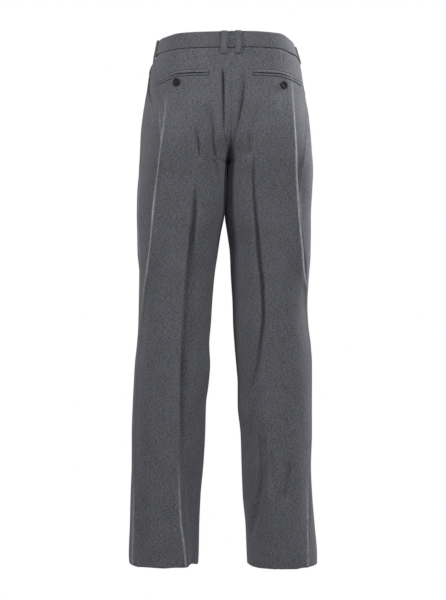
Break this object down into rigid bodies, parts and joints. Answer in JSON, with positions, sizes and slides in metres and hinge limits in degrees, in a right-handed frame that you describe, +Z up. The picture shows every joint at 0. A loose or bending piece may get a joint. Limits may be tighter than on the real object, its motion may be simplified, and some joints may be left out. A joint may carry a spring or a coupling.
{
  "type": "pleated dress trousers",
  "caption": "Straight-leg pleated dress trousers in grey wool, worn hollow form, with back welt pockets, belt loops and pressed creases.",
  "frame": {"origin": "centre of the waist ring, half way up the waistband, where the wearer holds the trousers up", "axes": "+Z up along the body, -Y towards the front of the trousers, +X towards the wearer's left"},
  "size_m": [0.3754, 0.2308, 1.0389],
  "materials": {
    "wool": "mid grey wool flannel, matt with a faint bluish cast",
    "waistband_wool": "mid grey wool flannel, pressed flat over canvas",
    "trim_wool": "mid grey wool flannel, pressed edges",
    "button": "dark grey horn-like, semi gloss"
  },
  "bodies": {
    "root": {"back_left": "wool", "back_right": "wool", "front_left": "wool", "front_right": "wool", "fly_flap": "wool", "waistband_left": "waistband_wool", "waistband_right": "waistband_wool", "belt_loop_back_left": "trim_wool", "belt_loop_back_right": "trim_wool", "belt_loop_side_left": "trim_wool", "belt_loop_side_right": "trim_wool", "belt_loop_front_left": "trim_wool", "belt_loop_front_right": "trim_wool", "back_welt_upper_left": "trim_wool", "back_welt_upper_right": "trim_wool", "back_welt_lower_left": "trim_wool", "back_welt_lower_right": "trim_wool", "pocket_edge_left": "trim_wool", "pocket_edge_right": "trim_wool", "back_button_left": "button", "back_button_right": "button"}
  },
  "joints": []
}
